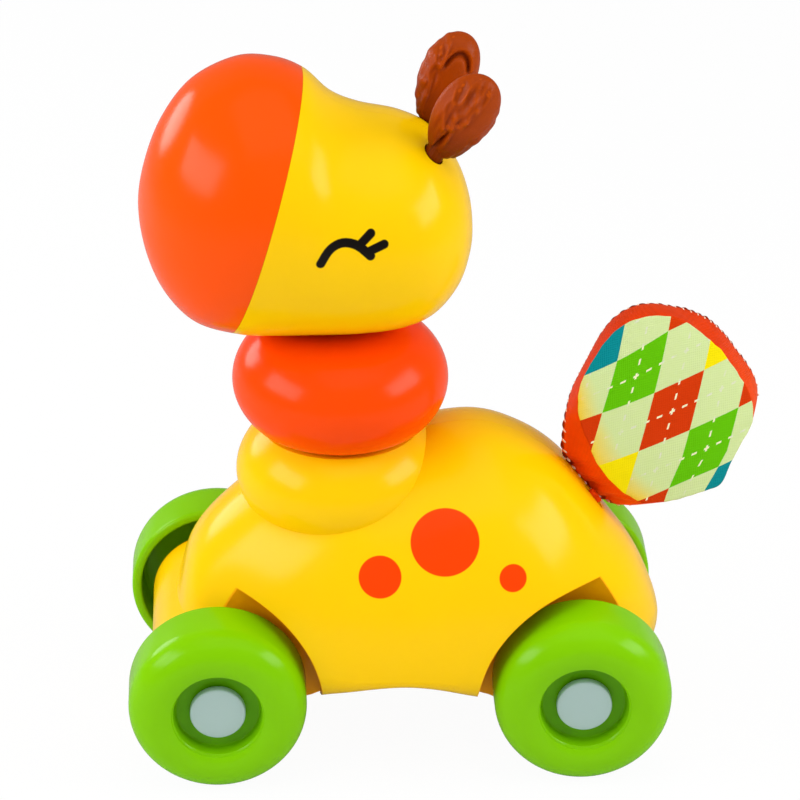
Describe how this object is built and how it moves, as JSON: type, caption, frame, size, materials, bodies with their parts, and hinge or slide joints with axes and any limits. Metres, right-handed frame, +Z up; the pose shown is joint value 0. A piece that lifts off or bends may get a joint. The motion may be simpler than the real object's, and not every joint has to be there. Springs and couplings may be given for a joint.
{
  "type": "animal push toy",
  "caption": "Giraffe-shaped toddler push toy on wheels: a turning head on a loose neck bead, a friction drive with a flywheel on the front axle, and a padded fabric tail.",
  "frame": {"origin": "on the floor, under the middle of the toy's outline", "axes": "-X towards the nose, +X towards the tail, +Y towards the animal's right side, +Z up"},
  "size_m": [0.1518, 0.0828, 0.172],
  "materials": {
    "yellow_plastic": "glossy moulded",
    "orange_plastic": "glossy moulded",
    "green_plastic": "glossy moulded",
    "pale_plastic": "satin moulded",
    "natural_plastic": "natural moulded",
    "grey_plastic": "matte moulded",
    "brown_rubber": "satin, wrinkled",
    "tail_cloth": "sewn satin and printed cloth",
    "steel": "plain"
  },
  "bodies": {
    "chassis": {"body_left_shell": "yellow_plastic", "body_right_shell": "yellow_plastic", "body_screw_1": "steel", "body_screw_2": "steel", "frame_screw_1": "steel", "frame_screw_2": "steel", "frame_screw_3": "steel", "gear_frame_left": "grey_plastic", "gear_frame_right": "grey_plastic", "drive_gear_shaft": "steel", "flywheel_shaft": "steel", "neck_post": "orange_plastic", "tail_tab": "tail_cloth"},
    "front_wheelset": {"front_axle": "steel", "front_left_wheel": "green_plastic", "front_right_wheel": "green_plastic", "front_left_cap": "pale_plastic", "front_right_cap": "pale_plastic", "axle_gear": "natural_plastic"},
    "rear_wheelset": {"rear_axle": "steel", "rear_left_wheel": "green_plastic", "rear_right_wheel": "green_plastic", "rear_left_cap": "pale_plastic", "rear_right_cap": "pale_plastic"},
    "head": {"head_left_shell": "yellow_plastic", "head_right_shell": "yellow_plastic", "head_screw_1": "steel", "head_screw_2": "steel", "muzzle": "orange_plastic", "left_ear": "brown_rubber", "right_ear": "brown_rubber"},
    "ring": {"neck_ring": "orange_plastic"},
    "tail": {"tail_pad": "tail_cloth"},
    "drive_train": {"drive_gear": "natural_plastic"},
    "inertia": {"flywheel": "steel"}
  },
  "joints": [
    {"name": "head_turn", "type": "hinge", "parent": "chassis", "child": "head", "pos_m": [-0.02497, 0, 0.10355], "axis": [0, 0, 1], "continuous": true},
    {"name": "neck_ring_spin", "type": "hinge", "parent": "chassis", "child": "ring", "pos_m": [-0.02497, 0, 0.0897], "axis": [0, 0, 1], "continuous": true},
    {"name": "front_axle_spin", "type": "hinge", "parent": "chassis", "child": "front_wheelset", "pos_m": [-0.05507, 0, 0.02082], "axis": [0, 1, 0], "continuous": true},
    {"name": "drive_gear_spin", "type": "hinge", "parent": "chassis", "child": "drive_train", "pos_m": [-0.04709, 0, 0.03583], "axis": [0, 1, 0], "continuous": true},
    {"name": "flywheel_spin", "type": "hinge", "parent": "chassis", "child": "inertia", "pos_m": [-0.03015, 0, 0.03435], "axis": [0, 1, 0], "continuous": true},
    {"name": "rear_axle_spin", "type": "hinge", "parent": "chassis", "child": "rear_wheelset", "pos_m": [0.03073, 0, 0.02082], "axis": [0, 1, 0], "continuous": true},
    {"name": "tail_flop", "type": "hinge", "parent": "chassis", "child": "tail", "pos_m": [0.03589, 0, 0.0572], "axis": [0.5863, 0, -0.8101], "range_deg": [-35, 35], "stiffness_Nm_per_rad": 0.05, "springref_deg": 0.4}
  ],
  "couplings": [
    {"joint": "drive_gear_spin", "follows": "front_axle_spin", "ratio": -2.4},
    {"joint": "flywheel_spin", "follows": "front_axle_spin", "ratio": 5.76}
  ]
}
